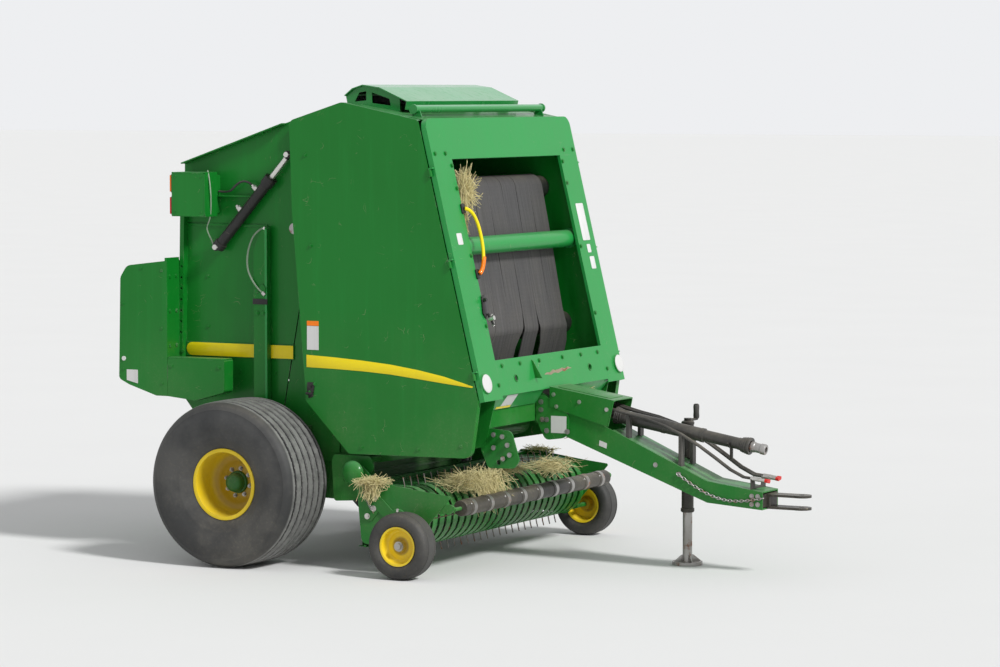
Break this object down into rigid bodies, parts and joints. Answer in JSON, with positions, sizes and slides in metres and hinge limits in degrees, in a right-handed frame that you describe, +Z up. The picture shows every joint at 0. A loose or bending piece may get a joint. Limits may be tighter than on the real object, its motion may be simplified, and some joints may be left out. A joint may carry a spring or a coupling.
{
  "type": "round baler",
  "caption": "Towed round baler with a hinged rear gate, swinging side shields, a lifting tined pickup, gauge wheels and a tongue with its jack.",
  "frame": {"origin": "on the ground, under the middle of the whole machine's box", "axes": "+X points to the hitch, +Y to the machine's left side, +Z up"},
  "size_m": [4.3836, 2.76, 2.9961],
  "materials": {
    "paint_green": "gloss green paint",
    "paint_dark": "satin dark green paint",
    "paint_yellow": "gloss yellow paint",
    "paint_black": "satin black paint",
    "belt": "matt textured rubber",
    "tyre": "dusty rubber",
    "steel": "worn steel",
    "amber": "clear amber lens",
    "red": "clear red lens"
  },
  "bodies": {
    "frame": {"side_sheets": "paint_green", "gate_posts": "paint_green", "front_columns": "paint_green", "front_header": "paint_green", "lower_cross_panel": "paint_green", "cross_tube": "paint_green", "front_belts": "belt", "front_rollers": "paint_black", "roof_deck": "paint_green", "roof_lid": "paint_green", "axle_beam": "paint_dark", "lower_side_plates": "paint_green", "dome_caps": "paint_green", "front_brackets": "paint_green", "tongue": "paint_green", "hitch": "paint_black", "gearbox": "paint_black", "gearbox_hood": "paint_green", "drive_shaft": "paint_black", "jack_tube": "paint_black", "hoses": "paint_black", "chain_drive": "paint_black"},
    "jack": {"jack_leg": "steel"},
    "gate": {"gate_sides": "paint_green", "gate_cross_members": "paint_dark", "gate_belts": "belt", "gate_rollers": "paint_black", "tension_cylinders": "paint_black", "lamp_boxes": "paint_green", "amber_lenses": "amber", "red_lenses": "red", "net_box": "paint_green", "lower_side_shields": "paint_green"},
    "net_lid": {"net_lid": "paint_green"},
    "shield_left": {"shield_left": "paint_green"},
    "shield_right": {"shield_right": "paint_green"},
    "wheel_left": {"tyre_left": "tyre", "wheel_left": "paint_yellow", "hub_left": "paint_dark"},
    "wheel_right": {"tyre_right": "tyre", "wheel_right": "paint_yellow", "hub_right": "paint_dark"},
    "pickup": {"pickup_frame": "paint_green", "stripper_bands": "paint_green"},
    "tine_reel": {"tine_reel": "steel"},
    "compressor_roller": {"compressor_roller": "paint_black"},
    "gauge_wheel_left": {"gauge_tyre_left": "tyre", "gauge_rim_left": "paint_yellow"},
    "gauge_wheel_right": {"gauge_tyre_right": "tyre", "gauge_rim_right": "paint_yellow"},
    "lift_barrel_left": {"lift_barrel_left": "paint_black"},
    "lift_barrel_right": {"lift_barrel_right": "paint_black"},
    "lift_rod_left": {"lift_rod_left": "steel"},
    "lift_rod_right": {"lift_rod_right": "steel"}
  },
  "joints": [
    {"name": "wheel_left_spin", "type": "hinge", "parent": "frame", "child": "wheel_left", "pos_m": [-1.198, 1.12, 0.52], "axis": [0, 1, 0], "continuous": true},
    {"name": "gauge_wheel_left_spin", "type": "hinge", "parent": "pickup", "child": "gauge_wheel_left", "pos_m": [0.042, 1.25, 0.205], "axis": [0, 1, 0], "continuous": true},
    {"name": "shield_left_swing", "type": "hinge", "parent": "frame", "child": "shield_left", "pos_m": [0.33857, 0.985, 1.45046], "axis": [0.2368, 0, -0.9715], "range_deg": [0, 75]},
    {"name": "lift_barrel_left_tilt", "type": "hinge", "parent": "frame", "child": "lift_barrel_left", "pos_m": [-0.048, 0.9, 1.35], "axis": [0, -1, 0], "range_deg": [0, 4.35]},
    {"name": "lift_rod_left_slide", "type": "slide", "parent": "lift_barrel_left", "child": "lift_rod_left", "axis": [-0.7574, 0, 0.6529], "range_m": [0, 0.6286]},
    {"name": "wheel_right_spin", "type": "hinge", "parent": "frame", "child": "wheel_right", "pos_m": [-1.198, -1.12, 0.52], "axis": [0, 1, 0], "continuous": true},
    {"name": "gauge_wheel_right_spin", "type": "hinge", "parent": "pickup", "child": "gauge_wheel_right", "pos_m": [0.042, -1.25, 0.205], "axis": [0, 1, 0], "continuous": true},
    {"name": "shield_right_swing", "type": "hinge", "parent": "frame", "child": "shield_right", "pos_m": [0.33857, -0.985, 1.45046], "axis": [-0.2368, 0, 0.9715], "range_deg": [0, 75]},
    {"name": "lift_barrel_right_tilt", "type": "hinge", "parent": "frame", "child": "lift_barrel_right", "pos_m": [-0.048, -0.9, 1.35], "axis": [0, -1, 0], "range_deg": [0, 4.35]},
    {"name": "lift_rod_right_slide", "type": "slide", "parent": "lift_barrel_right", "child": "lift_rod_right", "axis": [-0.7574, 0, 0.6529], "range_m": [0, 0.6286]},
    {"name": "gate_lift", "type": "hinge", "parent": "frame", "child": "gate", "pos_m": [-0.928, 0, 2.735], "axis": [0, 1, 0], "range_deg": [0, 60]},
    {"name": "net_lid_lift", "type": "hinge", "parent": "gate", "child": "net_lid", "pos_m": [-2.18239, 0, 1.752], "axis": [0, 1, 0], "range_deg": [0, 80]},
    {"name": "pickup_lift", "type": "hinge", "parent": "frame", "child": "pickup", "pos_m": [-0.458, 0, 0.6], "axis": [0, -1, 0], "range_deg": [0, 14]},
    {"name": "tine_reel_spin", "type": "hinge", "parent": "pickup", "child": "tine_reel", "pos_m": [-0.078, 0, 0.345], "axis": [0, 1, 0], "continuous": true},
    {"name": "compressor_roller_spin", "type": "hinge", "parent": "pickup", "child": "compressor_roller", "pos_m": [0.302, 0, 0.42], "axis": [0, 1, 0], "continuous": true},
    {"name": "jack_slide", "type": "slide", "parent": "frame", "child": "jack", "axis": [0, 0, 1], "range_m": [0, 0.25]}
  ],
  "couplings": [
    {"joint": "lift_barrel_left_tilt", "follows": "gate_lift", "ratio": 0.06914},
    {"joint": "lift_rod_left_slide", "follows": "gate_lift", "m_per_rad": 0.59837},
    {"joint": "lift_barrel_right_tilt", "follows": "gate_lift", "ratio": 0.06914},
    {"joint": "lift_rod_right_slide", "follows": "gate_lift", "m_per_rad": 0.59837}
  ]
}
